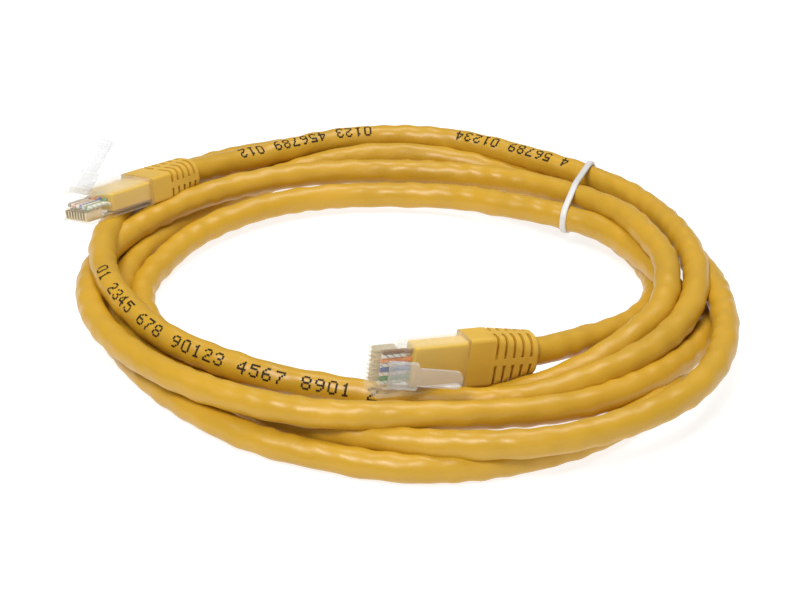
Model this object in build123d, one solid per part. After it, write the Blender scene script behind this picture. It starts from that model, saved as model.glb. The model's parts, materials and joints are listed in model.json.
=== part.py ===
from build123d import *
import math
import os

# Ethernet patch cable, coiled in a loose ring, with an 8-position modular plug at each end.
# Millimetres, +Z up, resting on Z = 0. The origin is the centre of the whole cable's footprint.

# cable
cable_d = 6.3                     # jacket outside diameter
conductor_d = 0.98                # one insulated conductor
conductor_count = 8
pitch = 1.02                      # spacing of the contacts and conductors

# coil of loose turns, as the closed shape that its turns fill
coil_centre = Vector(3.0, 0, 0)
coil_outer = (79.5, 80.0)         # semi-axes of the outside
coil_inner = (55.5, 49.5)         # semi-axes of the hole
coil_hole_shift = Vector(-1.0, 3.0, 0)
coil_height = 2 * cable_d
coil_round = 3.0                  # edge rounding of the coil's shape
room_ahead = 1.0                  # hollows that the two plugs lie in
room_behind = 2.0
room_width = 13.4
room_height = 10.0

# plug housing: +X from the nose to the cable, Y across, +Z on the latch side
housing_length = 21.5
housing_width = 11.68
housing_height = 6.6
housing_round = 0.4
slot_width = 0.40
slot_length = 6.2
slot_top = -0.3                   # the slots open into the conductor channel here
channel_start = 1.8
channel_width = 8.5
channel_top = 0.8
conductor_z = (slot_top + channel_top) / 2
cavity_start = 6.5
mould_front = 8.8
cavity_width = 9.8
cavity_height = 4.9
window_start = 10.5
window_length = 4.0
window_width = 6.0
fit_gap = 0.15                    # clearance round the pieces inside the housing

# contact blade
blade_thickness = 0.32
blade_start = 0.55
blade_length = 5.3
blade_bottom = -3.05
blade_top = -0.75
tooth_top = -0.36

# latch, hinged at a rounded root bead in a seat on the housing
root_x = 2.7
root_z = housing_height / 2 + 0.75
bead_radius = 0.70
seat_radius = 0.76
latch_wide = 6.2
latch_wide_length = 5.6
latch_wide_thickness = 1.3
lever_width = 4.0
lever_length = 15.0
lever_thickness = 0.9
latch_angle = {"a": 42.0, "b": 22.0}

# boot
boot_length = 17.0
collar_length = 5.4
boot_end_width = 9.8
boot_end_height = 8.4
boot_height = 6.9
rib_pitch = 2.1
rib_count = 5
rib_slot = 0.8
rib_depth = 0.9
rib_web = 1.5
bore_gap = 0.05
exit_run = 7.0                    # straight cable behind the boot

# nose of each plug, its direction towards the cable, and its latch side
plug_nose = {
    "a": coil_centre + Vector(-81.0, 18.0, 16.6),
    "b": coil_centre + Vector(-7.4, -60.0, 18.3),
}
plug_along = {"a": Vector(0.652, 0.758, -0.11), "b": Vector(0.886, 0.428, -0.15)}
plug_latch = {"a": Vector(-0.13, 0.15, 0.98), "b": Vector(0.435, -0.90, 0.04)}

# tie round the turns
tie_point = coil_centre + Vector(46.5, 46.0, 0)
tie_direction = 64.0              # degrees from +X, across the turns
tie_reach = (13.8, 16.6)          # from the point to the inside and the outside of the loop
tie_width = 1.6
tie_thickness = 1.0
tie_wire_d = 0.45
tie_round = 3.5

os.makedirs("parts", exist_ok=True)
nodes = {}


def plug_frame(end):
    """Place of a plug: origin at the middle of its nose face."""
    return Plane(origin=plug_nose[end], x_dir=plug_along[end], z_dir=plug_square(end)).location


def plug_square(end):
    """The latch side's direction, squared to the plug's length."""
    along = plug_along[end].normalized()
    latch = plug_latch[end]
    return (latch - along * latch.dot(along)).normalized()


def block(x0, x1, width, z0, z1):
    """A box between two stations, centred across the plug."""
    size_x = x1 - x0
    size_z = z1 - z0
    return Pos((x0 + x1) / 2, 0, (z0 + z1) / 2) * Box(size_x, width, size_z)


def contact_place(index):
    return (index - (conductor_count - 1) / 2) * pitch


def housing():
    """Clear shell with contact slots, conductor channel, rear cavity and latch seat."""
    half = housing_height / 2
    body = block(0, housing_length, housing_width, -half, half)
    body = fillet(body.edges().filter_by(Axis.X), housing_round)
    body = chamfer(body.faces().sort_by(Axis.X)[0].edges(), 0.25)
    root = block(0.7, root_x, latch_wide, half - 0.2, root_z + 0.75)
    root = fillet(root.edges().filter_by(Axis.Y).group_by(Axis.Z)[-1].sort_by(Axis.X)[0], 1.0)
    body += root
    body -= Pos(root_x, 0, root_z) * Rot(90, 0, 0) * Cylinder(seat_radius, latch_wide + 2)
    body -= block(channel_start, cavity_start, channel_width, slot_top, channel_top)
    body -= block(cavity_start, housing_length, cavity_width, -cavity_height / 2, cavity_height / 2)
    window_end = window_start + window_length
    body -= block(window_start, window_end, window_width, -half, -cavity_height / 2)
    for index in range(conductor_count):
        slot = block(0, slot_length, slot_width, -half, slot_top)
        body -= Pos(0, contact_place(index), 0) * slot
    return body


def contacts():
    """Eight gold blades, each with three teeth towards its conductor."""
    blades = []
    for index in range(conductor_count):
        blade = block(blade_start, blade_start + blade_length, blade_thickness, blade_bottom, blade_top)
        blade = fillet(blade.edges().filter_by(Axis.Y).group_by(Axis.Z)[0].sort_by(Axis.X)[0], 0.8)
        for tooth in range(3):
            tooth_x = channel_start + 0.5 + tooth * 1.3
            blade += block(tooth_x, tooth_x + 0.5, blade_thickness, blade_top, tooth_top)
        blades.append(Pos(0, contact_place(index), 0) * blade)
    return Compound(blades)


def conductor(index):
    """One conductor: flat in the channel, then gathered towards the jacket end."""
    place = contact_place(index)
    lift = 0.5 if index % 2 else -0.6
    path = FilletPolyline(
        (channel_start + 0.1, place, conductor_z),
        (cavity_start + 0.6, place, conductor_z),
        (mould_front - 0.15, 0.96 * place, conductor_z + lift),
        radius=2.0,
    )
    section = Plane(origin=path @ 0, z_dir=path % 0) * Circle(conductor_d / 2)
    return sweep(section, path)


def jacket_end():
    """Pre-moulded block round the jacket in the housing, and the jacket through the boot."""
    size_y = cavity_width - 2 * fit_gap
    size_z = cavity_height - 2 * fit_gap
    mould = block(mould_front, housing_length, size_y, -size_z / 2, size_z / 2)
    mould = fillet(mould.edges().filter_by(Axis.X), 0.7)
    mould = fillet(mould.faces().sort_by(Axis.X)[0].edges(), 0.5)
    length = boot_length
    jacket = Pos(housing_length + length / 2, 0, 0) * Rot(0, 90, 0) * Cylinder(cable_d / 2, length)
    return mould + jacket


def wedge():
    """Strain-relief bar pressed through the housing's window on to the mould."""
    x0 = window_start + fit_gap
    x1 = window_start + window_length - fit_gap
    bar = block(x0, x1, window_width - 2 * fit_gap, -3.15, -cavity_height / 2 + fit_gap)
    return fillet(bar.edges().filter_by(Axis.Y).group_by(Axis.Z)[0], 0.3)


def boot_shape(inset):
    """Outside of the boot, or the core that its slots leave."""
    x0 = housing_length
    x1 = housing_length + collar_length
    x2 = housing_length + boot_length
    wide = housing_width - 2 * inset
    high = boot_height - 2 * inset
    collar = block(x0, x1, wide, -high / 2, high / 2)
    collar = fillet(collar.edges().filter_by(Axis.X), 0.9)
    start = Plane(origin=(x1, 0, 0), x_dir=(0, 1, 0), z_dir=(1, 0, 0))
    finish = Plane(origin=(x2, 0, 0), x_dir=(0, 1, 0), z_dir=(1, 0, 0))
    end_wide = boot_end_width - 2 * inset
    end_high = boot_end_height - 2 * inset
    first = start * RectangleRounded(wide, high, 0.9)
    last = finish * RectangleRounded(end_wide, end_high, min(end_wide, end_high) / 2 - 0.3)
    return collar + loft([first, last])


def boot():
    """Ribbed boot: five slots wrap round each of its four corners."""
    body = boot_shape(0)
    body = fillet(body.faces().sort_by(Axis.X)[-1].edges(), 0.6)
    cuts = []
    for index in range(rib_count):
        x0 = housing_length + collar_length + 0.9 + index * rib_pitch
        cuts.append(block(x0, x0 + rib_slot, 20, -10, 10))
    slots = Compound(cuts) - boot_shape(rib_depth)
    slots -= block(0, 60, rib_web, -10, 10)
    slots -= block(0, 60, 40, -rib_web / 2, rib_web / 2)
    body -= slots
    hole = Pos(housing_length + boot_length / 2, 0, 0) * Rot(0, 90, 0)
    return body - hole * Cylinder(cable_d / 2 + bore_gap, boot_length + 2)


def latch(end):
    """Latch tab: root bead, wide part with square catch shoulders, narrow lever."""
    tab = Rot(90, 0, 0) * Cylinder(bead_radius, latch_wide - 0.2)
    wide = block(0, latch_wide_length, latch_wide - 0.2, -latch_wide_thickness / 2, latch_wide_thickness / 2)
    tab += fillet(wide.edges().filter_by(Axis.Z).group_by(Axis.X)[-1], 0.3)
    top = latch_wide_thickness / 2
    lever = block(latch_wide_length - 2, lever_length, lever_width, top - lever_thickness, top)
    lever = fillet(lever.edges().filter_by(Axis.Z).group_by(Axis.X)[-1], 1.3)
    tab += lever
    tab += block(lever_length - 2.2, lever_length - 1.5, lever_width - 1.2, top, top + 0.25)
    return Pos(root_x, 0, root_z) * Rot(0, -latch_angle[end], 0) * tab


def coil_shape():
    """Closed shape of the loose turns."""
    ring = extrude(Ellipse(*coil_outer), coil_height)
    ring -= Pos(coil_hole_shift) * extrude(Ellipse(*coil_inner), coil_height)
    ring = fillet(ring.edges(), coil_round)
    return Pos(coil_centre) * ring


def tie_place():
    return Pos(tie_point) * Rot(0, 0, tie_direction)


def tie_loop(inner, width):
    """Band round the turns: outer loop less inner loop, in the tie's own plane."""
    low = -tie_reach[0]
    high = tie_reach[1]
    top = coil_height + tie_thickness + 0.1
    flat = Plane(origin=((low + high) / 2, 0, top / 2), x_dir=(1, 0, 0), z_dir=(0, 1, 0))
    length = high - low - 2 * inner
    height = top - 2 * inner
    outline = flat * RectangleRounded(length, height, tie_round - inner)
    return tie_place() * extrude(outline, width / 2, both=True)


def tie_sheath():
    """White plastic sheath of the tie, hollow for its wire."""
    wall = (tie_thickness - tie_wire_d) / 2
    band = tie_loop(0, tie_width) - tie_loop(tie_thickness, tie_width)
    core = tie_loop(wall, tie_wire_d) - tie_loop(tie_thickness - wall, tie_wire_d)
    return band - core


def tie_wire():
    """Soft steel wire inside the tie's sheath."""
    wall = (tie_thickness - tie_wire_d) / 2
    return tie_loop(wall, tie_wire_d) - tie_loop(tie_thickness - wall, tie_wire_d)


def lead(end, route):
    """Free cable: straight runs joined by arcs as large as the runs allow."""
    points = [Vector(*p) for p in route]
    radii = []
    for before, here, after in zip(points, points[1:], points[2:]):
        turn = math.radians((here - before).get_angle(after - here))
        shorter = min((here - before).length, (after - here).length)
        radii.append(0.45 * shorter / math.tan(turn / 2))
    path = FilletPolyline(*points, radius=radii)
    section = Plane(origin=path @ 0, z_dir=path % 0) * Circle(cable_d / 2)
    tube = sweep(section, path)
    expected = math.pi * cable_d**2 / 4 * path.length
    print(f"lead_{end}: length {path.length:.1f}, radii {[round(r) for r in radii]},",
          f"volume {tube.volume:.0f} for {expected:.0f}")
    return tube


def lead_route(end, points):
    """The boot's end, one point straight behind it, then the points given from the coil's centre."""
    frame = plug_frame(end)
    exits = [housing_length + boot_length, housing_length + boot_length + exit_run]
    first = [(frame * Pos(x, 0, 0)).position for x in exits]
    return first + [coil_centre + Vector(*p) for p in points]


lead_a_points = [(-46.9, 56.6, 10.6), (-39.3, 62.2, 9.7)]
lead_b_points = [(38.8, -34.4, 9.8), (45.0, -26.6, 7.6), (51.6, -16.5, 5.5), (55.8, -8.0, 4.2)]

for end in ("a", "b"):
    frame = plug_frame(end)
    root = (frame * Pos(root_x, 0, root_z)).position
    hinge = plug_square(end).cross(plug_along[end].normalized())
    print(f"plug {end}: nose {plug_nose[end]}, latch root {root}, hinge {hinge}")
    nodes[f"plug_{end}_housing"] = frame * housing()
    nodes[f"plug_{end}_latch"] = frame * latch(end)
    nodes[f"plug_{end}_contacts"] = frame * contacts()
    nodes[f"plug_{end}_strain_relief"] = frame * wedge()
    nodes[f"plug_{end}_jacket_end"] = frame * jacket_end()
    nodes[f"plug_{end}_boot"] = frame * boot()
    for index in range(conductor_count):
        nodes[f"plug_{end}_conductor_{index + 1}"] = frame * conductor(index)

nodes["lead_a"] = lead("a", lead_route("a", lead_a_points))
nodes["lead_b"] = lead("b", lead_route("b", lead_b_points))

coil = coil_shape()
coil -= tie_loop(0, tie_width + 0.2) - tie_loop(tie_thickness, tie_width + 0.2)
for end in ("a", "b"):
    room_end = housing_length + boot_length + room_behind
    coil -= plug_frame(end) * block(-room_ahead, room_end, room_width, -room_height / 2, room_height / 2)
nodes["cable_coil"] = coil
nodes["tie_sheath"] = tie_sheath()
nodes["tie_wire"] = tie_wire()

lows = []
highs = []
for name, shape in nodes.items():
    export_step(shape, f"parts/{name}.step")
    box = shape.bounding_box()
    lows.append(box.min)
    highs.append(box.max)
low = [min(getattr(v, axis) for v in lows) for axis in "XYZ"]
high = [max(getattr(v, axis) for v in highs) for axis in "XYZ"]
print("whole cable", [round(v, 2) for v in low], [round(v, 2) for v in high])
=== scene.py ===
"""Looks of a coiled ethernet patch cable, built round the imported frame. Lengths are in metres."""
import json
import math

import bpy
import numpy as np
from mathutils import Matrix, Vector


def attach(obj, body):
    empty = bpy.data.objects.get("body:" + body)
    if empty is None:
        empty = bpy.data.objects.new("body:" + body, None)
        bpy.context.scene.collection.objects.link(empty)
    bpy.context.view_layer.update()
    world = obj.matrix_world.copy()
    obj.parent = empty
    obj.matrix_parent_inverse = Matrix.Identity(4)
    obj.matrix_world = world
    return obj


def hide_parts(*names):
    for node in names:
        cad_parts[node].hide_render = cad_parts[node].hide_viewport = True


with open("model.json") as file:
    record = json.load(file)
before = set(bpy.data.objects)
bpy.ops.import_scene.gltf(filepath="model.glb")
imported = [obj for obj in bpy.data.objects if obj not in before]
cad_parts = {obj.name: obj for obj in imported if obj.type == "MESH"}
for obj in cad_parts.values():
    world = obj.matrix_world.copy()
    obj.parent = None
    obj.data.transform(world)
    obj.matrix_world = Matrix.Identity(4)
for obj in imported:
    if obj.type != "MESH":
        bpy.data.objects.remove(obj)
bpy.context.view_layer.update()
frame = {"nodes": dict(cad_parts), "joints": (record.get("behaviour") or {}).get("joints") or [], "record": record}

MM = 0.001
CABLE_D = 6.3 * MM
CABLE_R = CABLE_D / 2
COIL_CENTRE = np.array((3.0, 0.0, 0.0)) * MM
HOUSING = (21.5 * MM, 11.68 * MM, 6.6 * MM)      # a plug's length, width and height
BOOT_LENGTH = 17.0 * MM


# ---------------------------------------------------------------- camera and light

TILT = math.radians(29.0)         # how far the camera looks down
CAMERA_PLACE = Vector((1.5, -454.0, 253.1)) * MM
SENSOR_WIDTH = 36.0               # millimetres, as Blender gives it
LENS = 97.6                       # millimetres
WORLD_LIGHT = 0.28


def make_camera():
    data = bpy.data.cameras.new("camera")
    data.sensor_width = SENSOR_WIDTH
    data.lens = LENS
    data.clip_start = 0.01
    camera = bpy.data.objects.new("camera", data)
    camera.location = CAMERA_PLACE
    camera.rotation_euler = (math.pi / 2 - TILT, 0.0, 0.0)
    bpy.context.scene.collection.objects.link(camera)
    bpy.context.scene.camera = camera


def area_light(name, place, target, size, power):
    data = bpy.data.lights.new(name, "AREA")
    data.shape = "RECTANGLE"
    data.size, data.size_y = size
    data.energy = power
    light = bpy.data.objects.new(name, data)
    light.location = place
    light.rotation_euler = (Vector(target) - Vector(place)).to_track_quat("-Z", "Y").to_euler()
    bpy.context.scene.collection.objects.link(light)


def make_studio():
    bpy.context.scene.view_settings.view_transform = "Standard"
    world = bpy.data.worlds.new("studio")
    world.use_nodes = True
    background = world.node_tree.nodes["Background"]
    background.inputs["Color"].default_value = (1.0, 1.0, 1.0, 1.0)
    background.inputs["Strength"].default_value = WORLD_LIGHT
    bpy.context.scene.world = world
    area_light("key", (-0.30, -0.45, 0.85), (0.0, 0.0, 0.0), (0.42, 0.32), 7.2)
    area_light("top", (0.20, 0.30, 0.95), (0.0, 0.0, 0.0), (0.7, 0.3), 4.8)
    area_light("front", (0.4, -1.0, 0.35), (0.0, 0.0, 0.0), (0.6, 0.25), 0.9)


# ---------------------------------------------------------------- materials

def new_material(name, colour, roughness):
    """A principled material with its node tree's nodes, links and shader."""
    material = bpy.data.materials.new(name)
    material.use_nodes = True
    nodes = material.node_tree.nodes
    shader = nodes["Principled BSDF"]
    shader.inputs["Base Color"].default_value = (*colour, 1.0)
    shader.inputs["Roughness"].default_value = roughness
    return material, nodes, material.node_tree.links, shader


def noise(nodes, links, scale, detail=3.0):
    """Noise over the object's own coordinates; scale is features per metre."""
    place = nodes.new("ShaderNodeTexCoord")
    texture = nodes.new("ShaderNodeTexNoise")
    texture.inputs["Scale"].default_value = scale
    texture.inputs["Detail"].default_value = detail
    links.new(place.outputs["Object"], texture.inputs["Vector"])
    return texture


def ramp(nodes, links, source, stops):
    """Colour ramp over a factor; stops are (place, colour)."""
    node = nodes.new("ShaderNodeValToRGB")
    elements = node.color_ramp.elements
    while len(elements) < len(stops):
        elements.new(0.5)
    for element, (place, colour) in zip(elements, stops):
        element.position = place
        element.color = (*colour, 1.0)
    links.new(source, node.inputs["Fac"])
    return node


def shade(colour, factor):
    """The same colour, darker or lighter."""
    return tuple(min(1.0, c * factor) for c in colour)


def grain_bump(nodes, links, shader, layers):
    """Stacked bumps; a layer is (features per metre, height in metres)."""
    last = None
    for scale, height in layers:
        texture = noise(nodes, links, scale)
        bump = nodes.new("ShaderNodeBump")
        bump.inputs["Strength"].default_value = 1.0
        bump.inputs["Distance"].default_value = height
        links.new(texture.outputs["Fac"], bump.inputs["Height"])
        if last is not None:
            links.new(last.outputs["Normal"], bump.inputs["Normal"])
        last = bump
    links.new(last.outputs["Normal"], shader.inputs["Normal"])


def vinyl(name, colour, roughness, patches, bumps):
    """Soft PVC: gentle colour drift, uneven sheen and a fine grain."""
    material, nodes, links, shader = new_material(name, colour, roughness)
    drift = noise(nodes, links, patches, 4.0)
    stops = ((0.25, shade(colour, 0.90)), (0.5, colour), (0.78, shade(colour, 1.07)))
    tint = ramp(nodes, links, drift.outputs["Fac"], stops)
    links.new(tint.outputs["Color"], shader.inputs["Base Color"])
    sheen = noise(nodes, links, patches * 6.0, 2.0)
    rough = nodes.new("ShaderNodeMapRange")
    rough.inputs["To Min"].default_value = roughness - 0.07
    rough.inputs["To Max"].default_value = roughness + 0.09
    links.new(sheen.outputs["Fac"], rough.inputs["Value"])
    links.new(rough.outputs["Result"], shader.inputs["Roughness"])
    shader.inputs["Specular IOR Level"].default_value = 0.45
    shader.inputs["Subsurface Weight"].default_value = 0.06
    shader.inputs["Subsurface Radius"].default_value = (1.0, 0.45, 0.12)
    shader.inputs["Subsurface Scale"].default_value = 1.2 * MM
    grain_bump(nodes, links, shader, bumps)
    return material


def clear_plastic(name, colour, body_face_on, body_edge_on):
    """Moulded polycarbonate: clear face on and more opaque at its edges, where its given colour is painted edge
    light and shade, with slight flow marks.
    """
    material, nodes, links, shader = new_material(name, colour, 0.06)
    shader.inputs["Transmission Weight"].default_value = 0.45
    shader.inputs["IOR"].default_value = 1.45
    # Opacity rises towards grazing angles, so the base colour paints the edges: painted highlight on the housing,
    # painted shade on the latch.
    glance = nodes.new("ShaderNodeLayerWeight")
    glance.inputs["Blend"].default_value = 0.35
    body = nodes.new("ShaderNodeMapRange")
    body.inputs["From Min"].default_value = 0.18
    body.inputs["To Min"].default_value = body_face_on
    body.inputs["To Max"].default_value = body_edge_on
    links.new(glance.outputs["Facing"], body.inputs["Value"])
    links.new(body.outputs["Result"], shader.inputs["Alpha"])
    haze = noise(nodes, links, 160.0, 3.0)
    rough = nodes.new("ShaderNodeMapRange")
    rough.inputs["To Min"].default_value = 0.03
    rough.inputs["To Max"].default_value = 0.16
    links.new(haze.outputs["Fac"], rough.inputs["Value"])
    links.new(rough.outputs["Result"], shader.inputs["Roughness"])
    grain_bump(nodes, links, shader, ((260.0, 0.04 * MM), (1500.0, 0.006 * MM)))
    return material


def metal(name, colour, roughness):
    """Plated or drawn metal with faint wear."""
    material, nodes, links, shader = new_material(name, colour, roughness)
    shader.inputs["Metallic"].default_value = 1.0
    wear = noise(nodes, links, 1800.0, 3.0)
    tint = ramp(nodes, links, wear.outputs["Fac"], ((0.3, shade(colour, 0.86)), (0.7, colour)))
    links.new(tint.outputs["Color"], shader.inputs["Base Color"])
    grain_bump(nodes, links, shader, ((4000.0, 0.006 * MM),))
    return material


def insulation(name, colour, stripe):
    """Conductor insulation: one colour, or white with helical marks of its pair's colour."""
    material, nodes, links, shader = new_material(name, colour, 0.38)
    if stripe is None:
        mottle = noise(nodes, links, 500.0, 2.0)
        stops = ((0.3, shade(colour, 0.86)), (0.7, shade(colour, 1.1)))
        tint = ramp(nodes, links, mottle.outputs["Fac"], stops)
    else:
        place = nodes.new("ShaderNodeTexCoord")
        wave = nodes.new("ShaderNodeTexWave")
        wave.bands_direction = "DIAGONAL"
        wave.inputs["Scale"].default_value = 170.0
        links.new(place.outputs["Object"], wave.inputs["Vector"])
        stops = ((0.40, colour), (0.46, stripe), (0.62, stripe), (0.68, colour))
        tint = ramp(nodes, links, wave.outputs["Fac"], stops)
    links.new(tint.outputs["Color"], shader.inputs["Base Color"])
    grain_bump(nodes, links, shader, ((1500.0, 0.01 * MM),))
    return material


def printing_ink():
    """Dark brown ink that is worn thin in places."""
    material, nodes, links, shader = new_material("printing_ink", (0.03, 0.02, 0.008), 0.6)
    shader.inputs["Specular IOR Level"].default_value = 0.15
    fade = noise(nodes, links, 700.0, 3.0)
    stops = ((0.3, (0.02, 0.013, 0.006)), (0.62, (0.04, 0.026, 0.010)), (0.8, (0.16, 0.10, 0.02)))
    tint = ramp(nodes, links, fade.outputs["Fac"], stops)
    links.new(tint.outputs["Color"], shader.inputs["Base Color"])
    return material


def floor_paper():
    """White ground that is bright enough to lose all but the softest shadow."""
    material, nodes, links, shader = new_material("white_paper", (0.34, 0.34, 0.34), 0.9)
    shader.inputs["Specular IOR Level"].default_value = 0.1
    shader.inputs["Emission Color"].default_value = (1.0, 1.0, 1.0, 1.0)
    shader.inputs["Emission Strength"].default_value = 0.80
    tone = noise(nodes, links, 3.0, 2.0)
    stops = ((0.0, (0.33, 0.33, 0.33)), (1.0, (0.35, 0.35, 0.35)))
    tint = ramp(nodes, links, tone.outputs["Fac"], stops)
    links.new(tint.outputs["Color"], shader.inputs["Base Color"])
    return material


JACKET_COLOUR = (0.56, 0.315, 0.020)
BOOT_COLOUR = (0.66, 0.40, 0.048)
MOULD_COLOUR = (0.78, 0.50, 0.03)
WHITE = (0.84, 0.83, 0.80)
GREEN = (0.03, 0.28, 0.08)
ORANGE = (0.80, 0.22, 0.03)
BLUE = (0.03, 0.10, 0.42)
BROWN = (0.20, 0.08, 0.03)
# Each conductor's own colour and, on the white ones, the colour of its marks.
CONDUCTOR_COLOURS = {
    1: (WHITE, GREEN), 2: (GREEN, None),
    3: (WHITE, ORANGE), 4: (BLUE, None),
    5: (WHITE, BLUE), 6: (ORANGE, None),
    7: (WHITE, BROWN), 8: (BROWN, None),
}


def dress(thing, material):
    thing.data.materials.clear()
    thing.data.materials.append(material)


def dress_cad_nodes(materials):
    """Every carried-over node gets its own procedural material."""
    wires = {number: insulation(f"insulation_{number}", *colours)
             for number, colours in CONDUCTOR_COLOURS.items()}
    for name, thing in frame["nodes"].items():
        if "conductor" in name:
            dress(thing, wires[int(name.rsplit("_", 1)[1])])
        elif name.endswith("latch"):
            dress(thing, materials["latch"])
        elif name.endswith(("housing", "strain_relief")):
            dress(thing, materials["clear"])
        elif name.endswith("contacts"):
            dress(thing, materials["gold"])
        elif name.endswith("jacket_end"):
            dress(thing, materials["mould"])
        elif name.endswith("boot"):
            dress(thing, materials["boot"])
        elif name == "tie_wire":
            dress(thing, materials["steel"])
        elif name == "tie_sheath":
            dress(thing, materials["tie"])
        else:
            dress(thing, materials["jacket"])


# ---------------------------------------------------------------- meshes

def mesh_piece(name, points, faces, material, body="cable"):
    """A smooth mesh object that rides on a body."""
    data = bpy.data.meshes.new(name)
    data.from_pydata([tuple(p) for p in points], [], faces)
    data.validate()
    data.shade_smooth()
    data.materials.append(material)
    thing = bpy.data.objects.new(name, data)
    bpy.context.scene.collection.objects.link(thing)
    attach(thing, body)
    return thing


def ring_faces(rings, sides, closed=False):
    """Quads between rings of points, with end caps unless the tube is closed on itself."""
    faces = []
    last = rings if closed else rings - 1
    for ring in range(last):
        after = (ring + 1) % rings
        for side in range(sides):
            beside = (side + 1) % sides
            faces.append((ring * sides + side, ring * sides + beside,
                          after * sides + beside, after * sides + side))
    if not closed:
        faces.append(tuple(reversed(range(sides))))
        faces.append(tuple((rings - 1) * sides + side for side in range(sides)))
    return faces


def unit(vectors):
    return vectors / np.linalg.norm(vectors, axis=-1, keepdims=True)


# ---------------------------------------------------------------- plugs, read from the frame

def plug_place(end):
    """Nose and axes (along, across, latch side) of a plug, from its mount and its latch's hinge."""
    mounts = {m["name"]: m for m in frame["record"]["mounts"]}
    joints = {j["name"]: j for j in frame["joints"]}
    entry = mounts[f"plug_{end}_insertion"]
    along = -np.array(entry["axis"])
    across = np.array(joints[f"latch_{end}_flex"]["axis"])
    latch_side = np.cross(along, across)
    nose = np.array(entry["pos_m"]) - along * HOUSING[0]
    return nose, np.array((along, across, latch_side))


def boot_rear(end):
    """Where the cable leaves a plug's boot, and its direction there."""
    nose, axes = plug_place(end)
    return nose + axes[0] * (HOUSING[0] + BOOT_LENGTH), axes[0]


# ---------------------------------------------------------------- the cable's route

# Eight places a turn, 45 degrees apart, clockwise from the back left where plug a's lead comes in:
# distances from the coil's centre, then heights, in millimetres.
TURNS = (
    ((76.5, 75.8, 69.3, 69.2, 65.6, 56.4, 59.0, 71.5), (9.2, 9.2, 8.8, 9.8, 10.0, 8.2, 9.8, 11.2)),
    ((81.0, 81.0, 73.5, 71.4, 83.0, 72.0, 61.5, 69.0), (8.6, 3.6, 3.2, 8.6, 9.6, 6.4, 3.6, 3.2)),
    ((68.0, 70.0, 66.5, 73.0, 68.5, 65.5, 70.5, 75.0), (3.8, 5.6, 4.0, 3.2, 6.0, 9.4, 9.4, 8.4)),
    ((65.0, 58.5, 58.0, 61.5, 58.0, 52.0, 55.5, 64.0), (9.0, 7.4, 9.4, 12.4, 8.6, 4.6, 4.0, 3.2)),
    ((57.0, 49.6, 49.9, 61.8, 74.2, 76.3, 70.0, 71.5), (4.8, 5.0, 7.4, 7.0, 3.2, 3.2, 3.4, 3.2)),
    ((77.0, 65.0, 60.0, 60.2), (3.2, 3.2, 3.2, 3.2)),
)
# Local bends of the turns: the angle counted down from the first one, millimetres outward, degrees of reach.
BENDS = (
    (66, -2.2, 12), (36, 1.2, 10), (-66, 2.4, 11), (-106, -1.3, 11), (-147, 1.2, 12),
    (-347, -2.2, 10), (-430, 1.2, 9), (-460, -1.8, 9), (-791, -0.8, 12), (-826, 1.4, 10),
    (-939, 1.2, 10), (-1068, -1.8, 9), (-1101, 1.6, 9), (-1275, -1.2, 9),
    (-1382, -1.3, 9), (-1412, 1.6, 9), (-1543, -1.5, 9),
)
FIRST_ANGLE = 135.0
PLACE_STEP = 45.0
POINTS_PER_PLACE = 6
TURN_ROOM = 5.9 * MM              # turns that touch flatten each other a little
PLUG_ROOM = 2.5 * MM
SETTLE_ROUNDS = 120
SIDEWAYS = 0.35                   # share of a push that acts across the line of sight
SPRING_BACK = 0.97                # share of its shift that a point keeps each round
UNDER_LEAD_A = 4                  # points of the turns that plug a's lead takes the place of
# Points of the two leads about the coil's centre, in millimetres, and the straight run out of a boot.
LEAD_A = ((-46.9, 56.6, 10.6), (-39.3, 62.2, 9.7))
LEAD_B = ((58.2, -8.2, 4.0), (54.0, -17.2, 5.3), (46.2, -27.0, 7.6), (38.2, -34.4, 10.0))
EXIT_RUN = 4.0 * MM
POINTS_AT_BOOT = 2                # route points on a boot's own axis
NOT_ITSELF = 2 * POINTS_PER_PLACE  # points further apart than this along the route can touch
STATION_SPACING = 0.9 * MM


def smooth_between(values, steps):
    """Catmull-Rom points through a list of rows, with the given steps between two rows."""
    rows = np.array(values, float)
    padded = np.vstack((2 * rows[0] - rows[1], rows, 2 * rows[-1] - rows[-2]))
    made = []
    for before, here, after, beyond in zip(padded, padded[1:], padded[2:], padded[3:]):
        for t in np.arange(steps) / steps:
            slope = (after - before) * t
            curve = (2 * before - 5 * here + 4 * after - beyond) * t**2
            twist = (3 * here - before - 3 * after + beyond) * t**3
            made.append(here + 0.5 * (slope + curve + twist))
    made.append(rows[-1])
    return np.array(made)


def coil_turns():
    """Points of the loose turns about the coil's centre."""
    places = [(FIRST_ANGLE - PLACE_STEP * index, radius, height) for index, (radius, height)
              in enumerate(place for radii, heights in TURNS for place in zip(radii, heights))]
    angle, radius, height = smooth_between(places, POINTS_PER_PLACE).T
    for middle, outward, reach in BENDS:
        radius += outward * np.exp(-((angle - middle) / reach) ** 2)
    turn = np.radians(angle)
    flat = np.array((radius * np.cos(turn), radius * np.sin(turn), height)).T * MM
    return flat + COIL_CENTRE


def off_plugs(points):
    """Steps that take points off both plugs, but for a little of the cable's soft jacket."""
    steps = np.zeros_like(points)
    half = np.array((HOUSING[0] + BOOT_LENGTH, HOUSING[1], HOUSING[2])) / 2
    for end in "ab":
        nose, axes = plug_place(end)
        local = (points - nose - axes[0] * half[0]) @ axes.T
        beyond = np.maximum(np.abs(local) - half, 0.0)
        distance = np.linalg.norm(beyond, axis=1)
        near = (distance > 0) & (distance < PLUG_ROOM)
        away = beyond[near] * np.sign(local[near]) / distance[near, None]
        steps[near] += away * (PLUG_ROOM - distance[near, None]) @ axes / 2
    return steps


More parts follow.
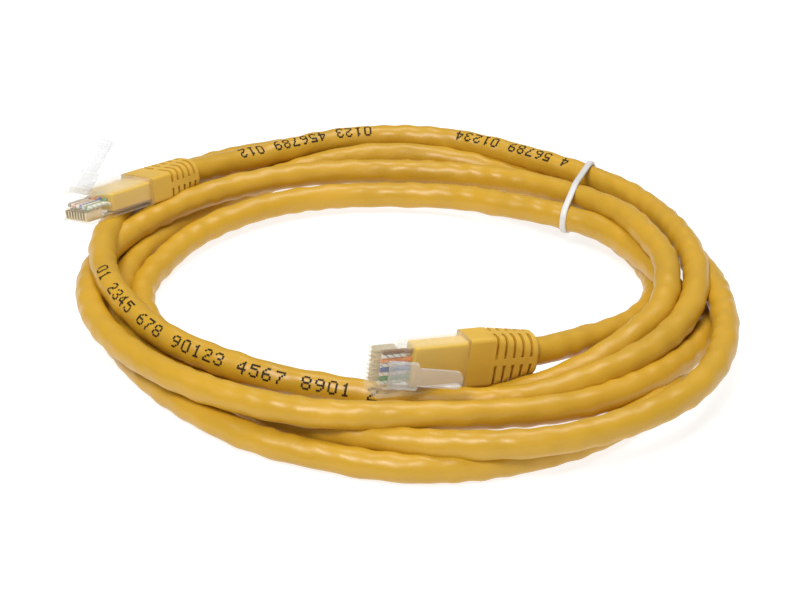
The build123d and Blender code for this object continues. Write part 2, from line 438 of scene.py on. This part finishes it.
def settle(points):
    """Overlapping turns part, mostly along the line of sight, and nothing sinks into the floor."""
    shift = np.zeros_like(points)
    index = np.arange(len(points))
    apart = np.abs(index[:, None] - index[None, :]) > NOT_ITSELF
    for _ in range(SETTLE_ROUNDS):
        now = points + shift
        gap = now[:, None, :] - now[None, :, :]
        distance = np.linalg.norm(gap, axis=2) + 1e-9
        touching = apart & (distance < TURN_ROOM)
        push = (gap / distance[:, :, None]) * ((TURN_ROOM - distance) * touching)[:, :, None]
        push = push.sum(1) / np.maximum(touching.sum(1), 1)[:, None] / 2
        sight = unit(np.array(CAMERA_PLACE) - now)
        forward = (push * sight).sum(1)[:, None] * sight
        shift += forward + SIDEWAYS * (push - forward)
        shift += off_plugs(points + shift)
        low = (points + shift)[:, 2] < CABLE_R
        shift[low, 2] = CABLE_R - points[low, 2]
        shift[1:-1] += (shift[:-2] + shift[2:] - 2 * shift[1:-1]) / 4
        shift *= SPRING_BACK
    return points + shift


def cable_route():
    """Boot a to boot b: plug a's lead, the turns, plug b's lead."""
    start, along_a = boot_rear("a")
    finish, along_b = boot_rear("b")
    lead_a = [COIL_CENTRE + np.array(p) * MM for p in LEAD_A]
    lead_b = [COIL_CENTRE + np.array(p) * MM for p in LEAD_B]
    turns = coil_turns()[UNDER_LEAD_A:]
    free = settle(np.array([*lead_a, *turns, *lead_b]))
    ends_a = [start, start + along_a * EXIT_RUN]
    ends_b = [finish + along_b * EXIT_RUN, finish]
    return np.array([*ends_a, *free, *ends_b])


def smooth_line(points):
    """Points read from the NURBS spline that has the route's points as its control points."""
    data = bpy.data.curves.new("cable_line", "CURVE")
    data.dimensions = "3D"
    spline = data.splines.new("NURBS")
    spline.points.add(len(points) - 1)
    for knot, point in zip(spline.points, points):
        knot.co = (*point, 1.0)
    spline.order_u = 3
    spline.use_endpoint_u = True
    spline.resolution_u = 8
    curve = bpy.data.objects.new("cable_line", data)
    bpy.context.scene.collection.objects.link(curve)
    bpy.context.view_layer.update()
    mesh = bpy.data.meshes.new_from_object(curve)
    line = np.array([v.co for v in mesh.vertices])
    bpy.data.objects.remove(curve)
    bpy.data.curves.remove(data)
    bpy.data.meshes.remove(mesh)
    steps = np.linalg.norm(np.diff(line, axis=0), axis=1)
    return line[np.r_[True, steps > 1e-6]]


class Line:
    """A smooth line with its running length and a frame that doesn't twist."""

    def __init__(self, points, spacing):
        run = np.r_[0.0, np.cumsum(np.linalg.norm(np.diff(points, axis=0), axis=1))]
        self.length = run[-1]
        self.run = np.linspace(0.0, self.length, int(self.length / spacing))
        self.points = np.array([np.interp(self.run, run, points[:, k]) for k in range(3)]).T
        self.tangent = unit(np.gradient(self.points, axis=0))
        self.normal = np.zeros_like(self.points)
        side = np.cross(self.tangent[0], (0.0, 0.0, 1.0))
        for index, tangent in enumerate(self.tangent):
            side = side - tangent * side.dot(tangent)
            side /= np.linalg.norm(side)
            self.normal[index] = side
        self.binormal = np.cross(self.tangent, self.normal)

    def nearest(self, point):
        return self.run[np.argmin(np.linalg.norm(self.points - point, axis=1))]

    def at(self, place):
        """Point, tangent, normal and binormal between the two nearest stations."""
        after = int(np.clip(np.searchsorted(self.run, place), 1, len(self.run) - 1))
        share = (place - self.run[after - 1]) / (self.run[after] - self.run[after - 1])
        rows = (self.points, self.tangent, self.normal, self.binormal)
        return [row[after - 1] * (1 - share) + row[after] * share for row in rows]


# ---------------------------------------------------------------- the cable's jacket

PAIR_LAYS = (12.1 * MM, 14.3 * MM, 16.9 * MM, 19.7 * MM)
CABLE_LAY = 95.0 * MM
PAIR_BUMP = 0.24 * MM
PAIR_WIDTH = 0.55                 # radians, the angle that one pair's bump covers
PAIR_RIDGE = 0.35                 # share of a bump that runs on along the pair
PAIR_CREST = 0.65                 # share that rises and falls with the pair's twist
MEAN_SWELL = 0.25
WANDER = 0.06 * MM
END_FADE = 6.0 * MM
JACKET_SIDES = 36


def jacket_radius(run, angle, length):
    """The jacket shrinks on to four twisted pairs, so their crests show through it as soft lumps."""
    swell = np.zeros_like(run)
    for pair, lay in enumerate(PAIR_LAYS):
        centre = 2 * math.pi * (run / CABLE_LAY + pair / len(PAIR_LAYS))
        off = np.angle(np.exp(1j * (angle - centre)))
        crest = np.cos(2 * math.pi * run / (lay / 2) + 1.7 * pair + 1.3 * np.sin(run / (31 * MM) + pair))
        swell += np.exp(-(off / PAIR_WIDTH) ** 2) * (PAIR_RIDGE + PAIR_CREST * crest)
    wander = WANDER * np.sin(run / (23 * MM)) * np.cos(2 * angle + run / (37 * MM))
    fade = np.clip(np.minimum(run, length - run) / END_FADE, 0.0, 1.0)
    return CABLE_R + fade * (PAIR_BUMP * (swell - MEAN_SWELL) + wander)


def make_jacket(line, material):
    """The cable from boot to boot, as one tube along the line."""
    angles = np.arange(JACKET_SIDES) / JACKET_SIDES * 2 * math.pi
    run, angle = np.meshgrid(line.run, angles, indexing="ij")
    radius = jacket_radius(run, angle, line.length)
    points = (line.points[:, None, :]
              + line.normal[:, None, :] * (radius * np.cos(angle))[:, :, None]
              + line.binormal[:, None, :] * (radius * np.sin(angle))[:, :, None])
    faces = ring_faces(len(line.run), JACKET_SIDES)
    return mesh_piece("cable_jacket", points.reshape(-1, 3), faces, material)


# ---------------------------------------------------------------- printed digits

DIGITS = {
    "0": "01110 10001 10001 10001 10001 10001 01110",
    "1": "00100 01100 00100 00100 00100 00100 01110",
    "2": "01110 10001 00001 00110 01000 10000 11111",
    "3": "01110 10001 00001 00110 00001 10001 01110",
    "4": "00010 00110 01010 10010 11111 00010 00010",
    "5": "11111 10000 11110 00001 00001 10001 01110",
    "6": "00110 01000 10000 11110 10001 10001 01110",
    "7": "11111 00001 00010 00100 00100 01000 01000",
    "8": "01110 10001 10001 01110 10001 10001 01110",
    "9": "01110 10001 10001 01111 00001 00010 01100",
}
ROW_PITCH = 0.43 * MM
DOT_RADIUS = 0.27 * MM
DOT_CORNERS = 8
MIDDLE_ROW = 3                    # of a digit's seven rows
DIGIT_ADVANCE = 7                 # columns from one digit to the next
INK_STAND = 0.05 * MM
BACK_PITCH = 0.38 * MM            # between two columns of dots
FRONT_PITCH = 0.42 * MM
FRONT_RUN_ON = 82.5 * MM          # how far past its place on the coil the front printing starts
FRONT_FACING = np.array((0.0, -0.80, 0.60))
BACK_FACING = np.array((0.0, -0.50, 0.87))


def print_digits(name, line, start, column_pitch, text, toward, material):
    """Dot-matrix digits on the jacket, read towards plug a, their middle facing a direction."""
    points = []
    faces = []
    for place, character in enumerate(text):
        if character not in DIGITS:
            continue
        for row, cells in enumerate(DIGITS[character].split()):
            for column, cell in enumerate(cells):
                if cell == "0":
                    continue
                run = start - (place * DIGIT_ADVANCE + column) * column_pitch
                up = (MIDDLE_ROW - row) * ROW_PITCH
                first = len(points)
                for corner in range(DOT_CORNERS):
                    turn = 2 * math.pi * corner / DOT_CORNERS
                    along = run - DOT_RADIUS * math.cos(turn)
                    across = up + DOT_RADIUS * math.sin(turn)
                    points.append(on_jacket(line, along, across, toward))
                faces.append(tuple(range(first, first + DOT_CORNERS)))
    return mesh_piece(name, points, faces, material)


def on_jacket(line, run, across, toward):
    """A point just proud of the jacket: its place along the cable and up from the printed row's middle."""
    centre, tangent, normal, binormal = line.at(run)
    facing = unit(toward - tangent * toward.dot(tangent))
    upward = np.cross(facing, -tangent)
    tilt = across / CABLE_R
    out = facing * math.cos(tilt) + upward * math.sin(tilt)
    angle = math.atan2(out.dot(binormal), out.dot(normal))
    radius = jacket_radius(np.array([run]), np.array([angle]), line.length)[0]
    return centre + out * (radius + INK_STAND)


# ---------------------------------------------------------------- the tie

TIE_POINT = COIL_CENTRE + np.array((45.4, 46.0, 0.0)) * MM
TIE_DIRECTION = math.radians(70.0)
TIE_WIDTH = 1.6 * MM
TIE_THICKNESS = 0.9 * MM
TIE_REACH = 30.0 * MM
TIE_SLACK = 0.1 * MM
TIE_RIM_POINTS = 32               # round each turn that the band encloses
TIE_STATIONS = 160
TIE_SMOOTHINGS = 4
TIE_SIDES = 16
TIE_SQUARENESS = (0.55, 0.75)     # of its section, across and through: 1 is an ellipse, 0 a box


def turns_left(first, second, third):
    """Whether the path through three flat points bends anticlockwise."""
    return np.cross(np.subtract(second, first), np.subtract(third, second)) > 0


def hull(points):
    """Convex outline of flat points, anticlockwise."""
    ordered = sorted(map(tuple, points))
    outline = []
    for sweep in (ordered, ordered[::-1]):
        side = []
        for p in sweep:
            while len(side) > 1 and not turns_left(*side[-2:], p):
                side.pop()
            side.append(p)
        outline += side[:-1]
    return np.array(outline)


def make_tie(line, material):
    """Band pulled round the turns that cross its plane."""
    across = np.array((math.cos(TIE_DIRECTION), math.sin(TIE_DIRECTION), 0.0))
    normal = np.array((-across[1], across[0], 0.0))
    up = np.array((0.0, 0.0, 1.0))
    offset = line.points - TIE_POINT
    side = offset @ normal
    place = offset @ across
    crossing = np.where((side[:-1] * side[1:] <= 0) & (np.abs(place[:-1]) < TIE_REACH))[0]
    turn = np.arange(TIE_RIM_POINTS) / TIE_RIM_POINTS * 2 * math.pi
    radius = CABLE_R + TIE_THICKNESS / 2 + TIE_SLACK
    rims = [(place[k] + radius * math.cos(t), line.points[k, 2] + radius * math.sin(t))
            for k in crossing for t in turn]
    outline = hull(rims)
    outline[:, 1] = np.maximum(outline[:, 1], TIE_THICKNESS / 2)
    closed = np.vstack((outline, outline[:1]))
    run = np.r_[0.0, np.cumsum(np.linalg.norm(np.diff(closed, axis=0), axis=1))]
    even = np.linspace(0.0, run[-1], TIE_STATIONS, endpoint=False)
    flat = np.array([np.interp(even, run, closed[:, k]) for k in range(2)]).T
    for _ in range(TIE_SMOOTHINGS):
        flat = (np.roll(flat, 1, 0) + 2 * flat + np.roll(flat, -1, 0)) / 4
    centre = TIE_POINT + flat[:, :1] * across + flat[:, 1:] * up
    tangent = unit(np.roll(centre, -1, 0) - np.roll(centre, 1, 0))
    outward = np.cross(tangent, normal)
    angles = np.arange(TIE_SIDES) / TIE_SIDES * 2 * math.pi
    cosine = np.cos(angles)
    sine = np.sin(angles)
    wide = np.sign(cosine) * np.abs(cosine) ** TIE_SQUARENESS[0] * TIE_WIDTH / 2
    thick = np.sign(sine) * np.abs(sine) ** TIE_SQUARENESS[1] * TIE_THICKNESS / 2
    points = centre[:, None, :] + wide[None, :, None] * normal + thick[None, :, None] * outward[:, None, :]
    faces = ring_faces(TIE_STATIONS, TIE_SIDES, closed=True)
    tie = mesh_piece("tie_band", points.reshape(-1, 3), faces, material)
    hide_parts("tie_sheath", "tie_wire")
    return tie


# ---------------------------------------------------------------- floor

def make_floor():
    """A wide flat sheet under the cable."""
    data = bpy.data.meshes.new("floor")
    reach = 4.0
    corners = [(-reach, -reach, 0), (reach, -reach, 0), (reach, reach, 0), (-reach, reach, 0)]
    data.from_pydata(corners, [], [(0, 1, 2, 3)])
    data.materials.append(floor_paper())
    floor = bpy.data.objects.new("floor", data)
    bpy.context.scene.collection.objects.link(floor)


# ---------------------------------------------------------------- everything

make_camera()
route = cable_route()
route_line = smooth_line(route)
line = Line(route_line, STATION_SPACING)

materials = {
    "jacket": vinyl("jacket_vinyl", JACKET_COLOUR, 0.36, 60.0, ((330.0, 0.10 * MM), (2600.0, 0.012 * MM))),
    "boot": vinyl("boot_vinyl", BOOT_COLOUR, 0.46, 90.0, ((900.0, 0.02 * MM), (3500.0, 0.010 * MM))),
    # Warm tint: a painted reflection of the yellow mould and jacket; its whitish edges are painted highlights.
    "clear": clear_plastic("housing_polycarbonate_painted_reflection", (0.94, 0.88, 0.68), 0.12, 0.66),
    # Grey: painted shade, standing in for the grey that refraction gives clear plastic against white.
    "latch": clear_plastic("latch_polycarbonate_painted_shade", (0.78, 0.79, 0.80), 0.30, 0.94),
    "mould": vinyl("mould_vinyl", MOULD_COLOUR, 0.40, 90.0, ((1500.0, 0.02 * MM),)),
    "gold": metal("gold_plate", (0.95, 0.82, 0.58), 0.40),
    "steel": metal("tie_steel", (0.55, 0.55, 0.56), 0.35),
    "tie": vinyl("tie_plastic", (0.66, 0.65, 0.63), 0.40, 120.0, ((800.0, 0.02 * MM),)),
}
dress_cad_nodes(materials)

jacket = make_jacket(line, materials["jacket"])
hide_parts("cable_coil", "lead_a", "lead_b")
ink = printing_ink()


def coil_run(angle):
    """Running length where the turns reach an angle, counted down from the first one."""
    index = round((FIRST_ANGLE - angle) / PLACE_STEP * POINTS_PER_PLACE)
    return line.nearest(route[POINTS_AT_BOOT + len(LEAD_A) - UNDER_LEAD_A + index])


prints = [
    print_digits("print_back_left", line, coil_run(97.0), BACK_PITCH, "0123 456789 012", BACK_FACING, ink),
    print_digits("print_back_right", line, coil_run(52.0), BACK_PITCH, "4 56789 01234", BACK_FACING, ink),
    print_digits("print_front", line, coil_run(-98.0) + FRONT_RUN_ON, FRONT_PITCH,
                 "01 2345 678 90123 4567 8901 2", FRONT_FACING, ink),
]
tie = make_tie(line, materials["tie"])

make_floor()
make_studio()
